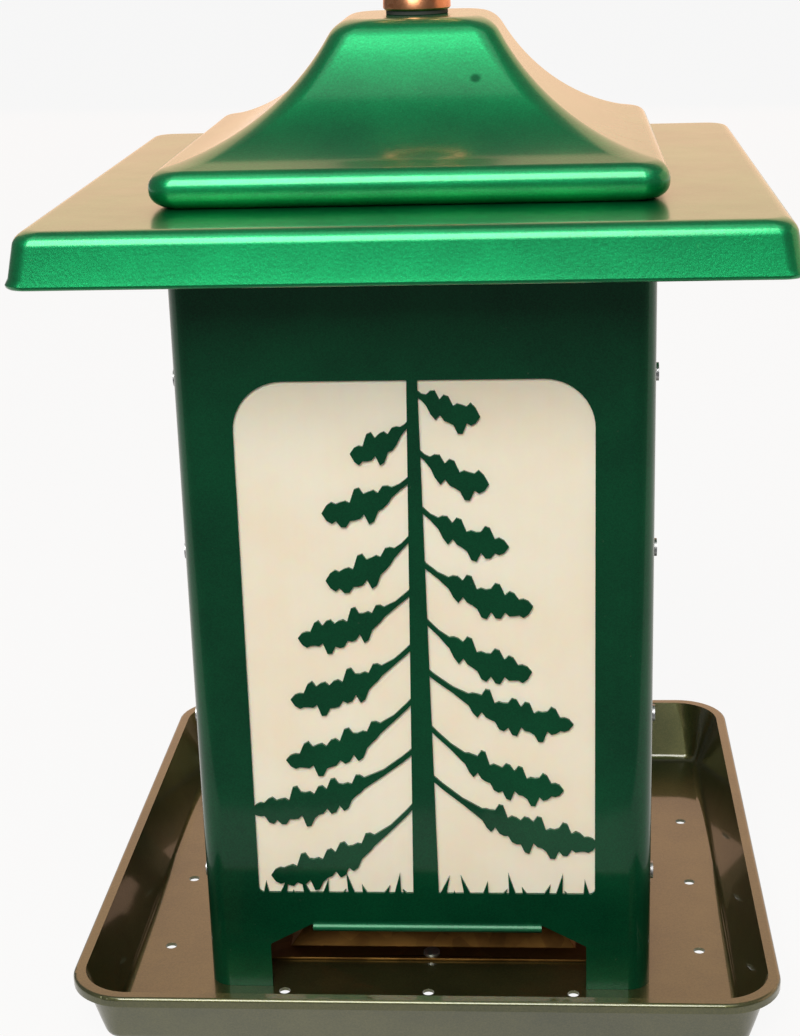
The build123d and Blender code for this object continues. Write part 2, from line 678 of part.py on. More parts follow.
def all_parts():
    """Every piece of the feeder by its node name."""
    cutter = face_cutter()
    wrap = wrap_panel(cutter)
    flat = flat_panel(cutter)
    parts = {
        "tray": tray(),
        "tie_rod": tie_rod(),
        "bridge_bar": bridge_bar(),
        "bridge_rivets": bridge_rivets(),
        "bridge_washer": flat_washer(BRIDGE_TOP),
        "bridge_nut": hex_nut(BRIDGE_TOP + WASHER_SHEET),
        "base_washer": flat_washer(BOSS_UNDER - WASHER_SHEET),
        "base_nut": hex_nut(BOSS_UNDER - WASHER_SHEET - NUT_HEIGHT),
        "seed_baffle": seed_baffle(),
        "baffle_rivets": floor_rivets(baffle_rivet_points(), BAFFLE_SHEET),
        "leg_brackets": leg_brackets(),
        "bracket_rivets": floor_rivets(bracket_rivet_points(), BRACKET_SHEET),
        "seam_rivets": seam_rivets(),
        "roof_plate": roof_plate(),
        "roof_dome": roof_dome(),
        "roof_collar": roof_collar(),
        "roof_rivets": roof_rivets(),
        "crown_seal": crown_seal(),
        "hanging_eye": hanging_eye(),
    }
    for face, angle in FACE_TURNS.items():
        wrapped = face in ("front", "back")
        seat = BODY_INNER if wrapped else TAB_INNER
        parts[f"{face}_panel"] = turned(wrap if wrapped else flat, angle)
        parts[f"{face}_pane"] = turned(window_pane(seat), angle)
        parts[f"{face}_pane_channel"] = turned(pane_channel(seat), angle)
    return parts


def main():
    """Write every piece to its own STEP file."""
    os.makedirs("parts", exist_ok=True)
    for node, shape in all_parts().items():
        export_step(shape, os.path.join("parts", f"{node}.step"))


main()
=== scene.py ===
import json
import logging
import math
from dataclasses import dataclass, field
from enum import Enum
from functools import cached_property
from typing import Any, Optional, Union

import bmesh
import bpy
from mathutils import Matrix, Vector


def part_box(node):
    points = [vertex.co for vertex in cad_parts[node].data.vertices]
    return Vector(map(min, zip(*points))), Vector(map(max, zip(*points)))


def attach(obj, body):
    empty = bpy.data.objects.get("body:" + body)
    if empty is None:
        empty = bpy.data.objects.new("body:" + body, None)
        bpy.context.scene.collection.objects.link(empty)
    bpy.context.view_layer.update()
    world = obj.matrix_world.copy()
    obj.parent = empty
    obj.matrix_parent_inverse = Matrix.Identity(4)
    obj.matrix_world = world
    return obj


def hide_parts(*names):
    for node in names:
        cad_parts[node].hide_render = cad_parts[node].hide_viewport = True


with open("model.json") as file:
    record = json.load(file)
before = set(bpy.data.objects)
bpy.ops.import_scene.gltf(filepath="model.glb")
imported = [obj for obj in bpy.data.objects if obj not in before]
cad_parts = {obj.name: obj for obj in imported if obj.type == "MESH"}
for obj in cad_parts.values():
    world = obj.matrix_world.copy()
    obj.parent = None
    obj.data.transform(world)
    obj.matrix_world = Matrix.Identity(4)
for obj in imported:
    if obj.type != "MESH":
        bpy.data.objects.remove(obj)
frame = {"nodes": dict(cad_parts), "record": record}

log = logging.getLogger("feeder")
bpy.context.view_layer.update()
SLOT_OF = {part["node"]: part["material_slot"] for part in frame["record"]["subparts"]}
BODY_OF = {node: body for body, nodes in frame["record"]["behaviour"]["bodies"].items() for node in nodes}
FACES = ("front", "right", "back", "left")
MM = 0.001
MERGE = 0.001 * MM
QUARTER = math.pi / 2
WHITE = (1.0, 1.0, 1.0)
Colour = tuple[float, float, float]
Point = tuple[float, float, float]
Outline = list[tuple[float, float]]
Drawn = list[Union[bmesh.types.BMVert, bmesh.types.BMEdge]]


def linear(red: int, green: int, blue: int) -> Colour:
    """Turn a display colour of 0 to 255 into the linear values that shaders take.

    Args:
        red: Red as displayed.
        green: Green as displayed.
        blue: Blue as displayed.

    Returns:
        The linear colour.
    """
    def straight(value: int) -> float:
        """Undo the display curve of one channel."""
        share = value / 255
        return share / 12.92 if share <= 0.04045 else ((share + 0.055) / 1.055) ** 2.4
    return straight(red), straight(green), straight(blue)


class Wire:
    """A shader socket that can be used in sums: each operator adds a Math node."""

    def __init__(self, graph: "Graph", socket: bpy.types.NodeSocket) -> None:
        """Keep the socket and the graph that it belongs to."""
        self.graph = graph
        self.socket = socket

    def __add__(self, other: "Value") -> "Wire":
        """Sum of two values."""
        return self.graph.maths("ADD", self, other)

    __radd__ = __add__

    def __sub__(self, other: "Value") -> "Wire":
        """Difference of two values."""
        return self.graph.maths("SUBTRACT", self, other)

    def __rsub__(self, other: "Value") -> "Wire":
        """Difference, with this value taken away."""
        return self.graph.maths("SUBTRACT", other, self)

    def __mul__(self, other: "Value") -> "Wire":
        """Product of two values."""
        return self.graph.maths("MULTIPLY", self, other)

    __rmul__ = __mul__

    def ramp(self, low: float, high: float) -> "Wire":
        """Turn this value into a smooth step.

        Args:
            low: Where the step leaves 0.
            high: Where it reaches 1.

        Returns:
            The step.
        """
        inputs = {"Value": self, "From Min": low, "From Max": high}
        step = self.graph.node("ShaderNodeMapRange", {"interpolation_type": "SMOOTHSTEP"}, inputs)
        return Wire(self.graph, step.outputs["Result"])


Value = Union[Wire, float]


@dataclass(frozen=True)
class Grain:
    """A noise pattern on object coordinates.

    Attributes:
        scale: Cells to the metre.
        detail: Octaves of finer noise.
        roughness: Strength of the finer octaves.
        span: The part of its range that is drawn out to a step from 0 to 1, if any.
        stretch: Factors on the coordinates, which lengthen the pattern where they are small.
    """

    scale: float
    detail: float = 2.0
    roughness: float = 0.5
    span: Optional[tuple[float, float]] = None
    stretch: Point = (1.0, 1.0, 1.0)


class Graph:
    """The node tree of one material or world, made afresh."""

    def __init__(self, owner: Union[bpy.types.Material, bpy.types.World]) -> None:
        """Empty the owner's node tree.

        Args:
            owner: The material or world that is built.
        """
        self.owner = owner
        owner.use_nodes = True
        self.tree = owner.node_tree
        self.tree.nodes.clear()

    @cached_property
    def place(self) -> Wire:
        """Object coordinates, added when a pattern first needs them."""
        return Wire(self, self.node("ShaderNodeTexCoord").outputs["Object"])

    def node(self, kind: str, settings: Optional[dict[str, Any]] = None,
             values: Optional[dict[Union[str, int], Any]] = None) -> bpy.types.Node:
        """Add one node.

        Args:
            kind: The node's type.
            settings: Attributes that are set first, such as an operation.
            values: Constants or wires for its sockets, by name or number.

        Returns:
            The new node.
        """
        made = self.tree.nodes.new(kind)
        for name, value in (settings or {}).items():
            setattr(made, name, value)
        for key, value in (values or {}).items():
            if isinstance(value, Wire):
                self.tree.links.new(value.socket, made.inputs[key])
            elif isinstance(value, tuple) and made.inputs[key].type == "RGBA":
                made.inputs[key].default_value = (*value, 1.0)
            else:
                made.inputs[key].default_value = value
        return made

    def maths(self, operation: str, first: Value, second: Value) -> Wire:
        """Add a Math node for two values."""
        made = self.node("ShaderNodeMath", {"operation": operation}, {0: first, 1: second})
        return Wire(self, made.outputs[0])

    def noise(self, grain: Grain) -> Wire:
        """Add a noise pattern.

        Args:
            grain: The pattern's scale and fineness.

        Returns:
            The pattern's value, from 0 to 1.
        """
        spread = self.node("ShaderNodeMapping", None, {"Vector": self.place, "Scale": grain.stretch})
        inputs = {"Vector": Wire(self, spread.outputs[0]), "Scale": grain.scale, "Detail": grain.detail,
                  "Roughness": grain.roughness}
        value = Wire(self, self.node("ShaderNodeTexNoise", None, inputs).outputs[0])
        return value.ramp(*grain.span) if grain.span else value

    def flakes(self, scale: float) -> Wire:
        """Add cells of random grey, as metal flakes lie in paint.

        Args:
            scale: Cells to the metre.

        Returns:
            The grey of each cell, from 0 to 1.
        """
        cells = self.node("ShaderNodeTexVoronoi", None, {"Vector": self.place, "Scale": scale})
        split = self.node("ShaderNodeSeparateColor", None, {0: Wire(self, cells.outputs["Color"])})
        return Wire(self, split.outputs[0])

    def blend(self, factor: Value, first: Union[Wire, Colour], second: Union[Wire, Colour]) -> Wire:
        """Mix two colours by a factor; a Mix node takes colours at 6 and 7 and gives one at 2."""
        made = self.node("ShaderNodeMix", {"data_type": "RGBA"}, {0: factor, 6: first, 7: second})
        return Wire(self, made.outputs[2])

    def near(self, point: Vector, reach: float, core: float) -> Wire:
        """Make a round spot.

        Args:
            point: The spot's middle.
            reach: Distance from which it is 0.
            core: Distance up to which it is 1.

        Returns:
            The spot's value.
        """
        inputs = {0: self.place, 1: tuple(point)}
        away = self.node("ShaderNodeVectorMath", {"operation": "DISTANCE"}, inputs)
        return 1 - Wire(self, away.outputs["Value"]).ramp(core, reach)

    def bump(self, height: Wire, depth: float) -> Wire:
        """Turn a height pattern of so many metres into a bumped normal."""
        made = self.node("ShaderNodeBump", None, {"Height": height, "Distance": depth, "Strength": 1.0})
        return Wire(self, made.outputs[0])

    def backdrop(self, share: float) -> Wire:
        """Where a ray is to meet the white background: 1 for the camera, a share of it in reflections.

        Args:
            share: How much of the background glossy surfaces show.

        Returns:
            The factor by kind of ray.
        """
        rays = self.node("ShaderNodeLightPath").outputs
        camera = Wire(self, rays["Is Camera Ray"])
        clear = Wire(self, rays["Is Transmission Ray"])
        glossy = Wire(self, rays["Is Glossy Ray"])
        return camera + clear + glossy * share

    def mixed(self, factor: Wire, first: bpy.types.Node, second: bpy.types.Node, output: str) -> None:
        """Mix two shaders into the tree's output.

        Args:
            factor: Share of the second shader.
            first: The first shader.
            second: The second shader.
            output: Kind of the output node.
        """
        shaders = {0: factor, 1: Wire(self, first.outputs[0]), 2: Wire(self, second.outputs[0])}
        mix = self.node("ShaderNodeMixShader", None, shaders)
        self.node(output, None, {0: Wire(self, mix.outputs[0])})

    def surface(self, values: dict[str, Any]) -> bpy.types.Material:
        """Finish the material with a Principled shader.

        Args:
            values: Constants or wires for the shader's sockets.

        Returns:
            The material.
        """
        shader = self.node("ShaderNodeBsdfPrincipled", None, values)
        self.node("ShaderNodeOutputMaterial", None, {0: Wire(self, shader.outputs[0])})
        return self.owner


@dataclass(frozen=True)
class Enamel:
    """Glossy metallic enamel: flakes in a deep colour under a clear coat with a slight orange peel.

    Attributes:
        name: The material's name.
        bright: Colour of the thin places.
        deep: Colour of the thick places.
        metallic: How much of the paint is metal flake.
        rough: Roughness of the paint under the coat.
        wear: Pattern that adds to the roughness, by wear_share.
        specular: Strength of the paint's own gloss.
        coat_ior: Refraction of the clear coat.
        coat_rough: Roughness of the clear coat.
        clouds: Uneven depth of the paint, by cloud_share.
        flake_scale: Flakes to the metre, which darken by flake_share.
        dust: Pattern of dust specks of dust_colour, which hide the paint by dust_share.
        fine_peel: Orange peel of the spray, by fine_share.
        broad_peel: Waves of the sheet, by broad_share.
        peel_depth: Depth of both.
        chip: Place of a chip in the paint, if there is one.
        chip_reach: Radius of the chip.
        chip_core: Radius of its bare middle.
        chip_share: How much of the paint is gone there.
        chip_colour: Colour of the bare middle.
    """

    name: str
    bright: Colour
    deep: Colour
    metallic: float = 0.85
    rough: float = 0.34
    wear: Grain = Grain(60.0)
    wear_share: float = 0.10
    specular: float = 0.2
    coat_ior: float = 1.4
    coat_rough: float = 0.16
    clouds: Grain = Grain(22.0, 3.0, 0.6, (0.25, 0.8))
    cloud_share: float = 0.45
    flake_scale: float = 2600.0
    flake_share: float = 0.35
    dust: Grain = Grain(420.0, 4.0, 0.7, (0.66, 0.8))
    dust_share: float = 0.10
    dust_colour: Colour = linear(176, 170, 150)
    fine_peel: Grain = Grain(900.0, 1.0)
    fine_share: float = 0.35
    broad_peel: Grain = Grain(38.0, 1.0)
    broad_share: float = 0.9
    peel_depth: float = 0.1 * MM
    chip: Optional[Vector] = None
    chip_reach: float = 2.4 * MM
    chip_core: float = 0.84 * MM
    chip_share: float = 0.75
    chip_colour: Colour = linear(8, 62, 38)

    def material(self) -> bpy.types.Material:
        """Build the finish.

        Returns:
            The material.
        """
        graph = Graph(bpy.data.materials.new(self.name))
        depth = graph.noise(self.clouds) * self.cloud_share
        depth = depth + graph.flakes(self.flake_scale) * self.flake_share
        dust = graph.noise(self.dust) * self.dust_share
        colour = graph.blend(dust, graph.blend(depth, self.bright, self.deep), self.dust_colour)
        coat = 1.0 - dust
        if self.chip is not None:
            bare = graph.near(self.chip, self.chip_reach, self.chip_core) * self.chip_share
            colour = graph.blend(bare, colour, self.chip_colour)
            coat = coat - bare
        peel = graph.noise(self.fine_peel) * self.fine_share
        peel = peel + graph.noise(self.broad_peel) * self.broad_share
        return graph.surface({
            "Base Color": colour, "Metallic": self.metallic,
            "Roughness": self.rough + graph.noise(self.wear) * self.wear_share, "Coat Weight": coat,
            "Coat Roughness": self.coat_rough, "Coat IOR": self.coat_ior,
            "Specular IOR Level": self.specular, "Normal": graph.bump(peel, self.peel_depth)})


@dataclass(frozen=True)
class PaneSheet:
    """Cream plastic sheet with faint extrusion streaks and a soft mottle.

    Attributes:
        name: The material's name.
        light: The sheet's own colour.
        warm: Colour of the mottle and the streaks.
        mottle: Pattern of the mottle, by mottle_share.
        streaks: Upright streaks, by streak_share, which are streak_depth deep.
        rough: Roughness of the sheet, to which the streaks add by rough_share.
        glow: Share of the light that spreads in the sheet, as far as glow_reach.
    """

    name: str
    light: Colour
    warm: Colour
    mottle: Grain = Grain(30.0, 3.0, span=(0.3, 0.75))
    mottle_share: float = 0.6
    streaks: Grain = Grain(260.0, stretch=(1.0, 1.0, 0.03))
    streak_share: float = 0.3
    streak_depth: float = 0.03 * MM
    rough: float = 0.42
    rough_share: float = 0.12
    glow: float = 0.25
    glow_reach: float = 4.0 * MM

    def material(self) -> bpy.types.Material:
        """Build the finish.

        Returns:
            The material.
        """
        graph = Graph(bpy.data.materials.new(self.name))
        streaks = graph.noise(self.streaks)
        warmth = graph.noise(self.mottle) * self.mottle_share + streaks * self.streak_share
        return graph.surface({
            "Base Color": graph.blend(warmth, self.light, self.warm),
            "Roughness": self.rough + streaks * self.rough_share, "Subsurface Weight": self.glow,
            "Subsurface Scale": self.glow_reach, "Normal": graph.bump(streaks, self.streak_depth)})


@dataclass(frozen=True)
class Plating:
    """Plated metal: spangle in colour and roughness, with dull patches.

    Attributes:
        name: The material's name.
        light: Colour of the bright grains.
        dark: Colour of the dull ones.
        rough: Roughness of the plate.
        spangle: Grains to the metre, which darken by spangle_share and roughen by spangle_rough.
        patches: Pattern of the dull patches, by patch_share, which roughen by patch_rough.
        fine: Fine grain in the surface, fine_depth deep.
    """

    name: str
    light: Colour
    dark: Colour
    rough: float = 0.3
    spangle: float = 160.0
    spangle_share: float = 0.4
    spangle_rough: float = 0.05
    patches: Grain = Grain(45.0, 4.0, 0.6, (0.35, 0.75))
    patch_share: float = 0.5
    patch_rough: float = 0.15
    fine: Grain = Grain(1500.0)
    fine_depth: float = 0.02 * MM

    def material(self) -> bpy.types.Material:
        """Build the finish.

        Returns:
            The material.
        """
        graph = Graph(bpy.data.materials.new(self.name))
        grains = graph.flakes(self.spangle)
        patches = graph.noise(self.patches)
        dull = grains * self.spangle_share + patches * self.patch_share
        return graph.surface({
            "Base Color": graph.blend(dull, self.light, self.dark), "Metallic": 1.0,
            "Roughness": self.rough + patches * self.patch_rough + grains * self.spangle_rough,
            "Normal": graph.bump(graph.noise(self.fine), self.fine_depth)})


@dataclass(frozen=True)
class SealRubber:
    """Matt black rubber with a fine grain and a bloom.

    Attributes:
        name: The material's name.
        black: Colour of the clean rubber.
        grey: Colour of the bloom.
        bloom: Pattern of the bloom, which roughens by bloom_rough.
        rough: Roughness of the clean rubber.
        fine: Fine grain in the surface, fine_depth deep.
    """

    name: str
    black: Colour = (0.012, 0.012, 0.012)
    grey: Colour = (0.045, 0.043, 0.04)
    bloom: Grain = Grain(120.0, 3.0)
    bloom_rough: float = 0.2
    rough: float = 0.62
    fine: Grain = Grain(2500.0)
    fine_depth: float = 0.04 * MM

    def material(self) -> bpy.types.Material:
        """Build the finish.

        Returns:
            The material.
        """
        graph = Graph(bpy.data.materials.new(self.name))
        bloom = graph.noise(self.bloom)
        return graph.surface({
            "Base Color": graph.blend(bloom, self.black, self.grey),
            "Roughness": self.rough + bloom * self.bloom_rough,
            "Normal": graph.bump(graph.noise(self.fine), self.fine_depth)})


class Crease(Enum):
    """Angle in degrees past which an edge of a piece stays sharp."""

    THREAD = 30.0
    COPIED = 32.0
    FORMED = 40.0
    DOME = 50.0

    @property
    def angle(self) -> float:
        """The angle in radians."""
        return math.radians(self.value)


def finish_piece(piece: bpy.types.Object, node: str, material: bpy.types.Material) -> bpy.types.Object:
    """Dress a new piece and let it stand for a CAD node.

    Args:
        piece: The new object.
        node: The CAD node that it stands for.
        material: Its finish.

    Returns:
        The same object.
    """
    piece.data.materials.clear()
    piece.data.materials.append(material)
    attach(piece, BODY_OF[node])
    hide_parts(node)
    log.info("%s stands for %s: %d faces", piece.name, node, len(piece.data.polygons))
    return piece


def new_object(name: str, mesh: bmesh.types.BMesh, crease: Crease) -> bpy.types.Object:
    """Turn a bmesh into an object with smooth faces and sharp creases.

    Args:
        name: The piece's name.
        mesh: Its shape, freed here.
        crease: Where an edge stays sharp.

    Returns:
        The new object, at the origin.
    """
    data = bpy.data.meshes.new(name)
    for face in mesh.faces:
        face.smooth = True
    for edge in mesh.edges:
        edge.smooth = len(edge.link_faces) == 2 and edge.calc_face_angle(0.0) < crease.angle
    mesh.to_mesh(data)
    mesh.free()
    piece = bpy.data.objects.new(name, data)
    bpy.context.scene.collection.objects.link(piece)
    return piece


def sheet_wall(piece: bpy.types.Object, sheet: float) -> bpy.types.SolidifyModifier:
    """Give a shell its sheet thickness, inwards from its outer face.

    Args:
        piece: The shell.
        sheet: Thickness of the sheet.

    Returns:
        The modifier that does it.
    """
    wall = piece.modifiers.new("sheet", "SOLIDIFY")
    wall.thickness = sheet
    wall.offset = -1.0
    return wall


def even_shading(piece: bpy.types.Object) -> None:
    """Weigh a piece's normals by face area, so that flats stay flat beside rounded edges."""
    even = piece.modifiers.new("even_shading", "WEIGHTED_NORMAL")
    even.keep_sharp = True


def bake_modifiers(piece: bpy.types.Object) -> None:
    """Apply every modifier of a piece to its mesh.

    Args:
        piece: The object.
    """
    graph = bpy.context.evaluated_depsgraph_get()
    solid = bpy.data.meshes.new_from_object(piece.evaluated_get(graph))
    piece.modifiers.clear()
    piece.data = solid


def arc(centre: tuple[float, float], radius: float, start: float, stop: float, steps: int) -> Outline:
    """Points on an arc of an outline.

    Args:
        centre: Middle of the arc: its distance from the axis and its level.
        radius: Radius of the arc.
        start: Angle of the first point, from straight outwards and turning upwards, in radians.
        stop: Angle of the last point.
        steps: Edges along the arc.

    Returns:
        Distances from the axis and levels, with both ends.
    """
    angles = [start + (stop - start) * step / steps for step in range(steps + 1)]
    return [(centre[0] + radius * math.cos(angle), centre[1] + radius * math.sin(angle)) for angle in angles]


def draw_outline(mesh: bmesh.types.BMesh, points: Outline) -> Drawn:
    """Draw an outline beside the upright axis, ready for a spin; gives its vertices and edges."""
    verts = [mesh.verts.new((radius, 0.0, level)) for radius, level in points]
    return verts + [mesh.edges.new(pair) for pair in zip(verts, verts[1:])]


def close_seams(mesh: bmesh.types.BMesh) -> None:
    """Merge the doubles that a spin leaves, and face the shape outwards."""
    bmesh.ops.remove_doubles(mesh, verts=mesh.verts, dist=MERGE)
    bmesh.ops.recalc_face_normals(mesh, faces=mesh.faces[:])


@dataclass
class CopiedNode:
    """A merged copy of a CAD node with softened edges and even shading.

    Attributes:
        node: The CAD node.
        name: The new piece's name.
        edge: Radius that its edges are softened by.
        segments: Faces round a softened edge.
    """

    node: str
    name: str
    edge: float
    segments: int = 2

    def reshape(self, mesh: bmesh.types.BMesh) -> None:
        """Change the copied mesh before it is softened; a plain copy stays as it is."""

    def build(self, material: bpy.types.Material) -> bpy.types.Object:
        """Copy, merge, soften and dress the node.

        Args:
            material: The finish.

        Returns:
            The new piece.
        """
        mesh = bmesh.new()
        mesh.from_mesh(frame["nodes"][self.node].data)
        bmesh.ops.remove_doubles(mesh, verts=mesh.verts, dist=MERGE)
        bmesh.ops.dissolve_degenerate(mesh, edges=mesh.edges, dist=MERGE)
        self.reshape(mesh)
        piece = new_object(self.name, mesh, Crease.COPIED)
        soften = piece.modifiers.new("soft_edges", "BEVEL")
        soften.width = self.edge
        soften.segments = self.segments
        soften.limit_method = "ANGLE"
        soften.angle_limit = Crease.COPIED.angle
        soften.miter_outer = "MITER_ARC"
        even_shading(piece)
        return finish_piece(piece, self.node, material)


@dataclass
class TrayPressing(CopiedNode):
    """The copied tray, with its wall carried out until only a narrow rolled rim is left.

    Attributes:
        corner: Radius of the rim's corners.
        rim: Width of the rolled rim.
        flange: Width of the solid's flange, which the rim takes the place of.
        wall_drop: Depth of the wall's upper edge below the rim's top.
        foot: Level up to which the wall moves as its foot does.
        side_step: Move of the foot at the two sides.
        end_step: Move of the foot at front and back.
        play: Room for rounding where the floor's straight edges are found.
        floor_corner: Room for the rounded corners of the floor.
    """

    corner: float = 20.0 * MM
    rim: float = 4.0 * MM
    flange: float = 8.2 * MM
    wall_drop: float = 1.8 * MM
    foot: float = 6.0 * MM
    side_step: float = 4.2 * MM
    end_step: float = 2.4 * MM
    play: float = 0.1 * MM
    floor_corner: float = 1.3 * MM

    def reshape(self, mesh: bmesh.types.BMesh) -> None:
        """Move the wall outwards: its foot by sides, its upper edge square to the rim's outline.

        Args:
            mesh: The copied tray.
        """
        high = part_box(self.node)[1]
        centre = Vector((high.x - self.corner, high.y - self.corner))
        top = high.z - self.wall_drop
        for vert in mesh.verts:
            out = Vector((abs(vert.co.x) - centre.x, abs(vert.co.y) - centre.y))
            reach = Vector((max(out.x, 0.0), max(out.y, 0.0)))
            # The rim's outer half stays where it is.
            if reach.length > self.corner - self.flange / 2:
                continue
            corner = min(out) > -self.floor_corner
            low_step = Vector((self.side_step * (corner or out.x > -self.play),
                               self.end_step * (corner or out.y > -self.play)))
            rise = min(max((vert.co.z - self.foot) / (top - self.foot), 0.0), 1.0)
            step = low_step.lerp(reach.normalized() * (self.flange - self.rim), rise)
            vert.co.x += math.copysign(step.x, vert.co.x)
            vert.co.y += math.copysign(step.y, vert.co.y)


class RingLoft:
    """A run of rounded-square rings, each pulled out of the last one."""

    def __init__(self, half: float, corner: float, level: float, segments: int) -> None:
        """Start with one ring.

        Args:
            half: Half of the ring's width.
            corner: Radius of its corners.
            level: Its height.
            segments: Edges in each corner.
        """
        self.mesh = bmesh.new()
        self.half = half
        self.level = level
        bmesh.ops.create_grid(self.mesh, x_segments=1, y_segments=1, size=half)
        bmesh.ops.translate(self.mesh, verts=self.mesh.verts, vec=(0, 0, level))
        bmesh.ops.bevel(self.mesh, geom=self.mesh.verts[:], offset=corner, affect="VERTICES",
                        segments=segments, profile=0.5, material=-1)
        bmesh.ops.delete(self.mesh, geom=self.mesh.faces[:], context="FACES_ONLY")
        self.edges = self.mesh.edges[:]

    def pull(self, half: float, level: float) -> None:
        """Pull the next ring out of the last.

        Args:
            half: Half of the next ring's width.
            level: Its height.
        """
        made = bmesh.ops.extrude_edge_only(self.mesh, edges=self.edges)["geom"]
        self.edges = [item for item in made if isinstance(item, bmesh.types.BMEdge)]
        verts = [item for item in made if isinstance(item, bmesh.types.BMVert)]
        step = half - self.half
        rise = level - self.level
        # Each corner moves as one, so its radius stays the same from ring to ring.
        for across in (-1, 1):
            for along in (-1, 1):
                corner = [vert for vert in verts if vert.co.x * across > 0 and vert.co.y * along > 0]
                bmesh.ops.translate(self.mesh, verts=corner, vec=(across * step, along * step, rise))
        self.half = half
        self.level = level

    def cap(self) -> None:
        """Close the last ring with one face."""
        bmesh.ops.contextual_create(self.mesh, geom=self.edges)

    def finish(self, name: str, sheet: float, crease: Crease) -> bpy.types.Object:
        """Face the shell outwards and give it its sheet thickness inwards.

        Args:
            name: The piece's name.
            sheet: Thickness of the sheet.
            crease: Where an edge stays sharp.

        Returns:
            The new object.
        """
        bmesh.ops.recalc_face_normals(self.mesh, faces=self.mesh.faces[:])
        top = max(self.mesh.faces, key=lambda face: face.calc_center_median().z)
        if top.normal.z < 0:
            bmesh.ops.reverse_faces(self.mesh, faces=self.mesh.faces[:])
        piece = new_object(name, self.mesh, crease)
        sheet_wall(piece, sheet).use_even_offset = True
        even_shading(piece)
        return piece


@dataclass
class RoofPlate:
    """The square roof plate: a rolled hem, a leaning lip and a rounded shoulder round its flat top.

    Attributes:
        lean: How far the lip leans in over its height.
        edge: Radius of the shoulder.
        corner: Radius of the corners at the hem.
        sheet: Thickness of the sheet.
        hem: Radius of the rolled hem.
        neck: How far the lip stands in where it leaves the hem.
        neck_height: Height of that place above the hem's foot.
        flat: Width of the flat that is drawn between the shoulder and the top face.
        corner_segments: Edges in each corner.
        edge_steps: Rings round the shoulder.
        hem_steps: Rings round the hem.
    """

    lean: float = 2.4 * MM
    edge: float = 5.0 * MM
    corner: float = 9.0 * MM
    sheet: float = 1.2 * MM
    hem: float = 1.5 * MM
    neck: float = 0.825 * MM
    neck_height: float = 3.3 * MM
    flat: float = 2.5 * MM
    corner_segments: int = 10
    edge_steps: int = 8
    hem_steps: int = 6

    def build(self, material: bpy.types.Material) -> bpy.types.Object:
        """Model and dress the plate.

        Args:
            material: The finish.

        Returns:
            The new piece.
        """
        low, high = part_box("roof_plate")
        hem_middle = (high.x - self.hem, low.z + self.hem)
        rings = arc(hem_middle, self.hem, math.pi, math.tau, self.hem_steps)
        rings.append((high.x - self.neck, low.z + self.neck_height))
        tilt = math.atan2(self.lean, high.z - low.z)
        shoulder = (high.x - self.lean - self.edge, high.z - self.edge)
        rings += arc(shoulder, self.edge, tilt, QUARTER, self.edge_steps)
        rings.append((shoulder[0] - self.flat, high.z))
        start, *rest = rings
        loft = RingLoft(start[0], self.corner - 2 * self.hem, start[1], self.corner_segments)
        for half, level in rest:
            loft.pull(half, level)
        loft.cap()
        piece = loft.finish("roof_plate_pressing", self.sheet, Crease.FORMED)
        return finish_piece(piece, "roof_plate", material)


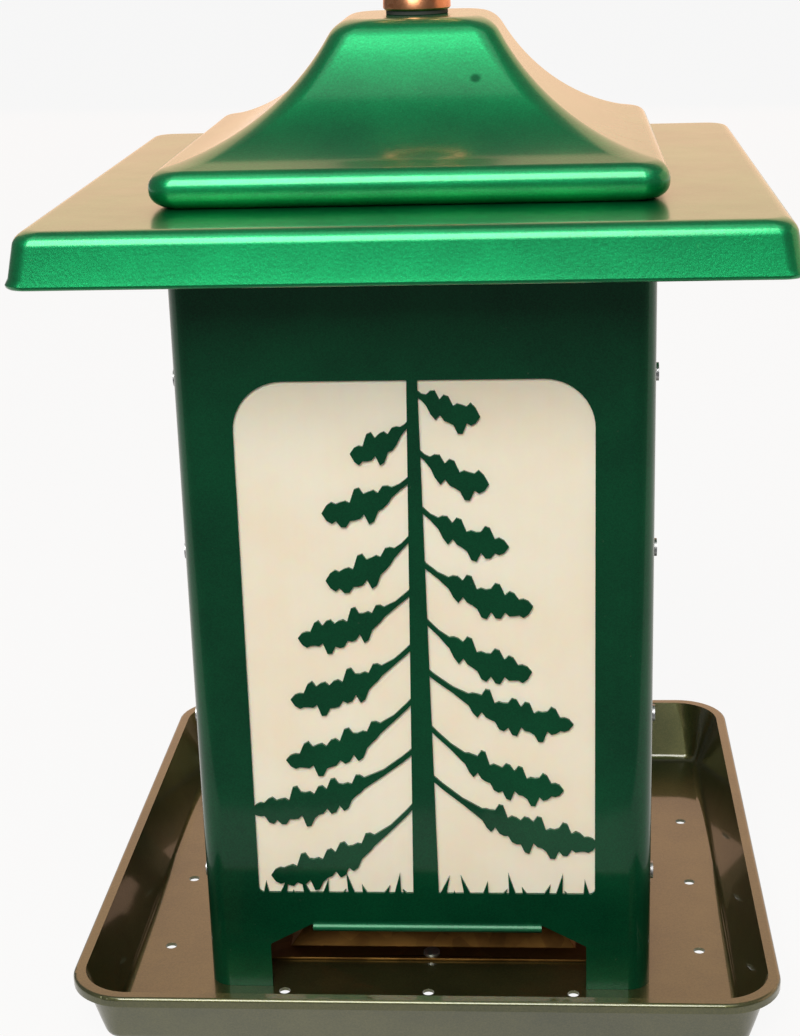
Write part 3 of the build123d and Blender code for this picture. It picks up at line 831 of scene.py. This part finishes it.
@dataclass
class RoofDome:
    """The ogee dome: a rolled bead at its foot, a hollow flare and a rounded crown.

    Attributes:
        corner: Radius of the corners.
        bead: Radius of the bead's upper and lower half.
        bead_height: Height of the bead.
        shoulder: Half width where the flare meets the crown.
        crown_rise: Height of the crown over that place.
        flare_turn: Angle that the flare turns through.
        sheet: Thickness of the sheet.
        chip_across: Place of the paint chip across the front face.
        chip_level: Height of the chip.
        corner_segments: Edges in each corner.
        bead_steps: Rings round half of the bead.
        flare_steps: Rings up the flare.
        crown_steps: Rings over the crown.
    """

    corner: float = 8.0 * MM
    bead: float = 5.6 * MM
    bead_height: float = 12.2 * MM
    shoulder: float = 28.5 * MM
    crown_rise: float = 5.0 * MM
    flare_turn: float = math.radians(47.0)
    sheet: float = 1.2 * MM
    chip_across: float = 20.7 * MM
    chip_level: float = 312.8 * MM
    corner_segments: int = 10
    bead_steps: int = 7
    flare_steps: int = 18
    crown_steps: int = 8

    def profile(self, half: float, low: float, high: float) -> Outline:
        """Work out the dome's outline from foot to crown.

        Args:
            half: Half width over the bead.
            low: Level of the roof plate.
            high: Level of the crown.

        Returns:
            Half widths and levels, from the bead's foot upwards.
        """
        middle = half - self.bead
        bead_top = low + self.bead_height
        run = middle - self.shoulder
        rise = high - self.crown_rise - bead_top
        chord = math.atan2(rise, run)
        foot = chord - self.flare_turn / 2
        top = chord + self.flare_turn / 2
        flare = math.hypot(run, rise) / (2 * math.sin(self.flare_turn / 2))
        flare_middle = (middle + flare * math.sin(foot), bead_top + flare * math.cos(foot))
        crown = self.crown_rise / (1 - math.cos(top))
        crown_middle = (self.shoulder - crown * math.sin(top), high - crown)
        points = arc((middle, low + self.bead), self.bead, -QUARTER, 0.0, self.bead_steps)
        points += arc((middle, bead_top - self.bead), self.bead, 0.0, QUARTER - foot, self.bead_steps)
        points += arc(flare_middle, flare, -QUARTER - foot, -QUARTER - top, self.flare_steps)[1:]
        points += arc(crown_middle, crown, QUARTER - top, QUARTER, self.crown_steps)[1:]
        return points

    def chip_point(self) -> Vector:
        """Find the place of the paint chip on the front face.

        Returns:
            The point on the face.
        """
        low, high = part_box("roof_dome")
        rings = self.profile(high.x, low.z, high.z)
        above = next(index for index, ring in enumerate(rings) if ring[1] > self.chip_level)
        (wide, lower), (narrow, upper) = rings[above - 1], rings[above]
        half = wide + (narrow - wide) * (self.chip_level - lower) / (upper - lower)
        return Vector((self.chip_across, -half, self.chip_level))

    def build(self, material: bpy.types.Material) -> bpy.types.Object:
        """Model and dress the dome.

        Args:
            material: The finish.

        Returns:
            The new piece.
        """
        low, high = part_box("roof_dome")
        start, *rest = self.profile(high.x, low.z, high.z)
        loft = RingLoft(start[0], self.corner, start[1], self.corner_segments)
        for half, level in rest:
            loft.pull(half, level)
        loft.cap()
        piece = loft.finish("roof_dome_pressing", self.sheet, Crease.DOME)
        return finish_piece(piece, "roof_dome", material)


@dataclass
class HangingEye:
    """The copper-coloured eye: a turned foot and neck, and a ring with rounded edges.

    Attributes:
        foot: Radius of the foot.
        foot_height: Height of the foot.
        chamfer: Width of the bevel under the foot.
        neck: Radius of the neck.
        neck_height: Height from the foot's underside to the ring's bore.
        cove: Radius of the hollow between foot and neck.
        bore: Radius of the ring's bore.
        wall: Thickness of the ring from bore to outside.
        width: Width of the ring along its axis.
        edge: Radius of the rounded edges.
        edge_steps: Edges round a rounded edge.
        steps: Edges round the stem and the ring.
    """

    foot: float = 11.5 * MM
    foot_height: float = 5.0 * MM
    chamfer: float = 0.6 * MM
    neck: float = 7.5 * MM
    neck_height: float = 16.0 * MM
    cove: float = 2.5 * MM
    bore: float = 10.0 * MM
    wall: float = 6.0 * MM
    width: float = 7.0 * MM
    edge: float = 2.0 * MM
    edge_steps: int = 5
    steps: int = 64

    def stem(self, base: float) -> bpy.types.Object:
        """Turn the foot and neck from one outline.

        Args:
            base: Level of the foot's underside.

        Returns:
            The turned stem.
        """
        mesh = bmesh.new()
        shelf = base + self.foot_height
        top = base + self.neck_height + self.edge
        rounding = arc((self.foot - self.edge, shelf - self.edge), self.edge, 0.0, QUARTER, self.edge_steps)
        bend = (self.neck + self.cove, shelf + self.cove)
        hollow = arc(bend, self.cove, -QUARTER, -math.pi, self.edge_steps)
        points = [(0.0, base), (self.foot - self.chamfer, base), (self.foot, base + self.chamfer)]
        points += rounding[1:] + hollow[1:] + [(self.width / 2, top), (0.0, top)]
        bmesh.ops.spin(mesh, geom=draw_outline(mesh, points), cent=(0, 0, 0), axis=(0, 0, 1), angle=math.tau,
                       steps=self.steps, use_merge=True)
        close_seams(mesh)
        return new_object("hanging_eye_turning", mesh, Crease.FORMED)

    def ring(self, centre: float) -> bpy.types.Object:
        """Turn the ring from a rounded section.

        Args:
            centre: Level of the ring's middle.

        Returns:
            The ring.
        """
        mesh = bmesh.new()
        bmesh.ops.create_grid(mesh, x_segments=1, y_segments=1, size=0.5)
        bmesh.ops.scale(mesh, verts=mesh.verts, vec=(self.wall, self.width, 1.0))
        bmesh.ops.bevel(mesh, geom=mesh.verts[:], offset=self.edge, affect="VERTICES",
                        segments=self.edge_steps, profile=0.5, material=-1)
        bmesh.ops.translate(mesh, verts=mesh.verts, vec=(self.bore + self.wall / 2, 0, centre))
        bmesh.ops.delete(mesh, geom=mesh.faces[:], context="FACES_ONLY")
        bmesh.ops.spin(mesh, geom=mesh.verts[:] + mesh.edges[:], cent=(0, 0, centre), axis=(0, 1, 0),
                       angle=math.tau, steps=self.steps, use_merge=True)
        close_seams(mesh)
        return new_object("eye_ring", mesh, Crease.FORMED)

    def build(self, material: bpy.types.Material) -> bpy.types.Object:
        """Join stem and ring and dress the eye.

        Args:
            material: The finish.

        Returns:
            The new piece.
        """
        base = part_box("hanging_eye")[0].z
        piece = self.stem(base)
        ring = self.ring(base + self.neck_height + self.bore)
        join = piece.modifiers.new("join", "BOOLEAN")
        join.operation = "UNION"
        join.object = ring
        bake_modifiers(piece)
        bpy.data.objects.remove(ring)
        return finish_piece(piece, "hanging_eye", material)


@dataclass
class ThreadedRod:
    """The tie rod: one helical thread from end to end, cut flat at both.

    Attributes:
        pitch: Rise of the thread in one turn.
        depth: Depth of the thread.
        flank: Share of the pitch that each flank takes up; the crest has the rest.
        spare: Turns that are wound past each end and then cut off.
        steps: Edges in one turn.
    """

    pitch: float = 0.8 * MM
    depth: float = 0.49 * MM
    flank: float = 0.44
    spare: int = 2
    steps: int = 12

    def build(self, material: bpy.types.Material) -> bpy.types.Object:
        """Wind, trim and dress the rod.

        Args:
            material: The finish.

        Returns:
            The new piece.
        """
        low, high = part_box("tie_rod")
        crest = high.x
        root = crest - self.depth
        start = low.z - self.spare * self.pitch
        rise = self.flank * self.pitch
        points = [(root, start), (crest, start + rise), (crest, start + self.pitch - rise),
                  (root, start + self.pitch)]
        mesh = bmesh.new()
        bmesh.ops.spin(mesh, geom=draw_outline(mesh, points), cent=(0, 0, 0), axis=(0, 0, 1), angle=math.tau,
                       steps=self.steps, dvec=(0, 0, self.pitch / self.steps))
        turns = 1
        # Each pass sets a copy on top of what is wound so far.
        while turns * self.pitch < high.z - low.z + 2 * self.spare * self.pitch:
            made = bmesh.ops.duplicate(mesh, geom=mesh.verts[:] + mesh.edges[:] + mesh.faces[:])["geom"]
            raised = [item for item in made if isinstance(item, bmesh.types.BMVert)]
            bmesh.ops.translate(mesh, verts=raised, vec=(0, 0, turns * self.pitch))
            turns *= 2
        bmesh.ops.remove_doubles(mesh, verts=mesh.verts, dist=MERGE)
        for level, up in ((low.z, -1), (high.z, 1)):
            everything = mesh.verts[:] + mesh.edges[:] + mesh.faces[:]
            bmesh.ops.bisect_plane(mesh, geom=everything, plane_co=(0, 0, level), plane_no=(0, 0, up),
                                   clear_outer=True)
        bmesh.ops.remove_doubles(mesh, verts=mesh.verts, dist=MERGE)
        bmesh.ops.holes_fill(mesh, edges=[edge for edge in mesh.edges if edge.is_boundary])
        bmesh.ops.recalc_face_normals(mesh, faces=mesh.faces[:])
        return finish_piece(new_object("tie_rod_thread", mesh, Crease.THREAD), "tie_rod", material)


@dataclass
class PortLip:
    """The head of a feed port: the sheet's edge, turned outwards to shed rain.

    Attributes:
        face: The wall that it is on.
        head: Level where the bend starts.
        width: Width of the lip.
        bend: Radius of the bend.
        turn: Angle of the bend.
        sheet: Thickness of the sheet.
        proud: How far the lip stands off the wall, so that no two faces lie in one plane.
        steps: Edges round the bend.
    """

    face: str
    head: float = 27.6 * MM
    width: float = 80.0 * MM
    bend: float = 2.6 * MM
    turn: float = math.radians(70.0)
    sheet: float = 0.8 * MM
    proud: float = 0.05 * MM
    steps: int = 10

    def build(self, material: bpy.types.Material) -> bpy.types.Object:
        """Bend and dress the lip.

        Args:
            material: The finish.

        Returns:
            The new piece.
        """
        panel = f"{self.face}_panel"
        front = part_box("front_panel")[0].y - self.proud
        mesh = bmesh.new()
        verts = [mesh.verts.new((side * self.width / 2, front, self.head)) for side in (-1, 1)]
        edge = mesh.edges.new(verts)
        bmesh.ops.spin(mesh, geom=[*verts, edge], cent=(0, front - self.bend, self.head), axis=(1, 0, 0),
                       angle=-self.turn, steps=self.steps)
        # It is bent at the front wall and then turned round to its own.
        turned = Matrix.Rotation(FACES.index(self.face) * QUARTER, 3, "Z")
        bmesh.ops.rotate(mesh, verts=mesh.verts, matrix=turned)
        bmesh.ops.recalc_face_normals(mesh, faces=mesh.faces[:])
        lowest = min(mesh.faces, key=lambda face: face.calc_center_median().z)
        if lowest.normal.z < 0:
            bmesh.ops.reverse_faces(mesh, faces=mesh.faces[:])
        piece = new_object(f"{self.face}_port_lip", mesh, Crease.FORMED)
        sheet_wall(piece, self.sheet)
        piece.data.materials.append(material)
        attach(piece, BODY_OF[panel])
        log.info("%s added to %s", piece.name, panel)
        return piece


@dataclass
class Finishes:
    """Every finish on the feeder, made once for each material slot."""

    made: dict[str, bpy.types.Material] = field(default_factory=dict)

    def __post_init__(self) -> None:
        """Build the finish of each material slot."""
        kinds = {
            "roof_green": Enamel("roof_enamel", linear(10, 157, 91), linear(4, 102, 60),
                                 chip=RoofDome().chip_point()),
            # The body's green is the roof's paint made darker: painted shade for the walls under the roof's
            # overhang.
            "body_green": Enamel("body_enamel_painted_shade", linear(6, 90, 54), linear(2, 52, 34), metallic=0.6,
                                 coat_ior=1.28, coat_rough=0.10),
            "tray_green": Enamel("tray_enamel", linear(100, 100, 60), linear(50, 58, 34), coat_ior=1.62,
                                 coat_rough=0.06),
            "pane_cream": PaneSheet("pane_sheet", linear(255, 241, 221), linear(252, 230, 203)),
            "zinc_steel": Plating("zinc_plate", linear(196, 198, 200), linear(140, 144, 148)),
            # The baffle's gold passivate is darkened here: painted shade for the dark inside of the hopper
            # behind the ports.
            "gold_zinc": Plating("gold_passivate_painted_shade", linear(120, 88, 44), linear(70, 48, 24), rough=0.45),
            "rivet_alloy": Plating("rivet_alloy", linear(206, 207, 208), linear(160, 162, 164), rough=0.34,
                                   spangle=900.0),
            "copper_cast": Plating("copper_plate", linear(226, 160, 118), linear(150, 86, 50), rough=0.22,
                                   spangle=500.0),
            "seal_rubber": SealRubber("seal_rubber"),
        }
        self.made = {slot: kind.material() for slot, kind in kinds.items()}

    def of(self, node: str) -> bpy.types.Material:
        """The finish of a CAD node."""
        return self.made[SLOT_OF[node]]


@dataclass
class CopiedPieces:
    """The pieces that keep their solids' shapes, and how far the edges of each kind are softened.

    Attributes:
        tray_edge: Edge radius of the tray.
        panel_edge: Edge radius of the hopper's walls.
        strip_edge: Edge radius of the pane channels.
        rivet_edge: Edge radius of the rivet heads.
        sheet_edge: Edge radius of the inner sheets and the seal.
        turned_edge: Edge radius of nuts and washers.
        pane_edge: Edge radius of the panes.
        round_segments: Faces round an edge that is seen close by.
        panel_segments: Faces round a wall's edge.
        rivets: The groups of rivets.
        sheets: The inner sheets and the seal.
        turned: Nuts and washers.
    """

    tray_edge: float = 0.5 * MM
    panel_edge: float = 0.12 * MM
    strip_edge: float = 0.2 * MM
    rivet_edge: float = 0.9 * MM
    sheet_edge: float = 0.25 * MM
    turned_edge: float = 0.35 * MM
    pane_edge: float = 0.15 * MM
    round_segments: int = 3
    panel_segments: int = 1
    rivets: tuple[str, ...] = ("seam_rivets", "bridge_rivets", "baffle_rivets", "bracket_rivets",
                               "roof_rivets")
    sheets: tuple[str, ...] = ("bridge_bar", "seed_baffle", "leg_brackets", "roof_collar", "crown_seal")
    turned: tuple[str, ...] = ("bridge_washer", "bridge_nut", "base_washer", "base_nut")

    def build(self, finishes: Finishes) -> None:
        """Copy and dress the tray, the walls, the panes and the small hardware.

        Args:
            finishes: The finishes by material slot.
        """
        copies: list[CopiedNode] = []
        copies.append(TrayPressing("tray", "tray_pressing", self.tray_edge, self.round_segments))
        copies += [CopiedNode(f"{face}_panel", f"{face}_panel_sheet", self.panel_edge, self.panel_segments)
                   for face in FACES]
        copies += [CopiedNode(f"{face}_pane_channel", f"{face}_channel_strip", self.strip_edge)
                   for face in FACES]
        copies += [CopiedNode(node, f"{node}_headed", self.rivet_edge, self.round_segments)
                   for node in self.rivets]
        copies += [CopiedNode(node, f"{node}_sheet", self.sheet_edge) for node in self.sheets]
        copies += [CopiedNode(node, f"{node}_turned", self.turned_edge) for node in self.turned]
        copies += [CopiedNode(f"{face}_pane", f"{face}_pane_sheet", self.pane_edge) for face in FACES]
        for copy in copies:
            copy.build(finishes.of(copy.node))


@dataclass(frozen=True)
class SoftPanel:
    """A soft lamp panel that the camera doesn't see.

    Attributes:
        name: The lamp's name.
        place: Where it hangs.
        aim: The point that it faces.
        size: Its width and height.
        watts: Its power.
        colour: Colour of its light.
    """

    name: str
    place: Point
    aim: Point
    size: tuple[float, float]
    watts: float
    colour: Colour = (1.0, 0.98, 0.95)

    def hang(self) -> None:
        """Hang the lamp in the scene, pointed at its aim."""
        data = bpy.data.lights.new(self.name, "AREA")
        data.shape = "RECTANGLE"
        data.size, data.size_y = self.size
        data.energy = self.watts
        data.color = self.colour
        lamp = bpy.data.objects.new(self.name, data)
        place = Vector(self.place)
        turn = (Vector(self.aim) - place).to_track_quat("-Z", "Y").to_matrix().to_4x4()
        lamp.matrix_world = Matrix.Translation(place) @ turn
        lamp.visible_camera = False
        bpy.context.scene.collection.objects.link(lamp)


@dataclass
class Studio:
    """Pale floor, soft lamps and the camera at the photograph's angle.

    Attributes:
        panels: The lamps.
        eye: Place of the camera.
        yaw: Turn of the camera to the left, in radians.
        pitch: Its tilt downwards.
        roll: Its turn about its own line of sight.
        focal_pixels: Focal length in pixels of the picture.
        picture_height: Height of the picture in pixels.
        sensor: Width of the sensor in millimetres.
        near_clip: Distance from which the camera sees.
        floor_half: Half of the floor's width and depth.
        floor_middle: Place of the floor's middle.
        floor_drop: Room between the floor and the feeder's underside.
        floor_colour: Colour of the floor as it lights the feeder.
        floor_white: Share of white that the camera sees on the floor.
        floor_mirrored: Share of that white in reflections.
        room_light: Strength of the even light in the room.
        room_white: Strength of the white behind the feeder.
        room_mirrored: Share of that white in reflections.
    """

    panels: tuple[SoftPanel, ...] = (
        SoftPanel("key_panel", (-0.2, -1.36, 1.31), (0.0, 0.0, 0.2), (0.95, 1.08), 30.0),
        SoftPanel("top_panel", (0.0, -0.75, 1.9), (0.0, 0.0, 0.2), (2.0, 1.5), 9.0),
        SoftPanel("right_card", (2.3, 0.5, 0.9), (0.0, 0.0, 0.2), (2.6, 1.8), 14.0, (1.0, 0.62, 0.40)),
        SoftPanel("warm_card", (0.3, 2.2, 1.1), (0.0, 0.0, 0.3), (4.4, 2.1), 32.0, (1.0, 0.55, 0.32)),
    )
    eye: Point = (0.0424, -0.6874, 0.3778)
    yaw: float = 0.0777
    pitch: float = 0.3182
    roll: float = -0.0310
    focal_pixels: float = 1970.8
    picture_height: int = 1036
    sensor: float = 36.0
    near_clip: float = 10.0 * MM
    floor_half: tuple[float, float] = (4.0, 3.31)
    floor_middle: tuple[float, float] = (0.0, 3.09)
    floor_drop: float = 0.1 * MM
    floor_colour: Colour = (0.52, 0.47, 0.40)
    floor_white: float = 0.92
    floor_mirrored: float = 0.7
    room_light: float = 0.14
    room_white: float = 0.95
    room_mirrored: float = 0.08

    def camera(self) -> None:
        """Place the camera and make it the scene's own."""
        level = math.cos(self.pitch)
        forward = Vector((-math.sin(self.yaw) * level, math.cos(self.yaw) * level, -math.sin(self.pitch)))
        right = Vector((math.cos(self.yaw), math.sin(self.yaw), 0.0))
        up = right.cross(forward)
        across = right * math.cos(self.roll) + up * math.sin(self.roll)
        above = up * math.cos(self.roll) - right * math.sin(self.roll)
        turn = Matrix((across, above, -forward)).transposed().to_4x4()
        data = bpy.data.cameras.new("studio_camera")
        data.sensor_width = self.sensor
        data.lens = self.focal_pixels * self.sensor / self.picture_height
        data.clip_start = self.near_clip
        camera = bpy.data.objects.new("studio_camera", data)
        camera.matrix_world = Matrix.Translation(Vector(self.eye)) @ turn
        bpy.context.scene.collection.objects.link(camera)
        bpy.context.scene.camera = camera

    def floor(self) -> None:
        """Lay the pale floor, which shows white to the camera but keeps the object's shadow."""
        mesh = bmesh.new()
        bmesh.ops.create_grid(mesh, x_segments=1, y_segments=1, size=1.0)
        bmesh.ops.scale(mesh, verts=mesh.verts, vec=(*self.floor_half, 1.0))
        bmesh.ops.translate(mesh, verts=mesh.verts, vec=(*self.floor_middle, -self.floor_drop))
        piece = new_object("studio_floor", mesh, Crease.FORMED)
        graph = Graph(bpy.data.materials.new("pale_floor"))
        matt = graph.node("ShaderNodeBsdfDiffuse", None, {"Color": self.floor_colour})
        glow = graph.node("ShaderNodeEmission", None, {"Color": WHITE, "Strength": 1.0})
        share = graph.backdrop(self.floor_mirrored) * self.floor_white
        graph.mixed(share, matt, glow, "ShaderNodeOutputMaterial")
        piece.data.materials.append(graph.owner)

    def world(self) -> None:
        """Fill the room with faint even light, and show white behind the object."""
        graph = Graph(bpy.data.worlds.new("studio_world"))
        faint = graph.node("ShaderNodeBackground", None, {"Color": WHITE, "Strength": self.room_light})
        white = graph.node("ShaderNodeBackground", None, {"Color": WHITE, "Strength": self.room_white})
        graph.mixed(graph.backdrop(self.room_mirrored), faint, white, "ShaderNodeOutputWorld")
        bpy.context.scene.world = graph.owner

    def build(self) -> None:
        """Set up the whole studio."""
        bpy.context.scene.view_settings.view_transform = "Standard"
        self.camera()
        self.floor()
        self.world()
        for panel in self.panels:
            panel.hang()


def main() -> None:
    """Build the feeder's looks and the studio round it."""
    logging.basicConfig(level=logging.INFO, format="%(message)s")
    finishes = Finishes()
    RoofPlate().build(finishes.of("roof_plate"))
    RoofDome().build(finishes.of("roof_dome"))
    HangingEye().build(finishes.of("hanging_eye"))
    ThreadedRod().build(finishes.of("tie_rod"))
    CopiedPieces().build(finishes)
    for face in FACES:
        PortLip(face).build(finishes.of(f"{face}_panel"))
    Studio().build()


if __name__ == "__main__":
    main()
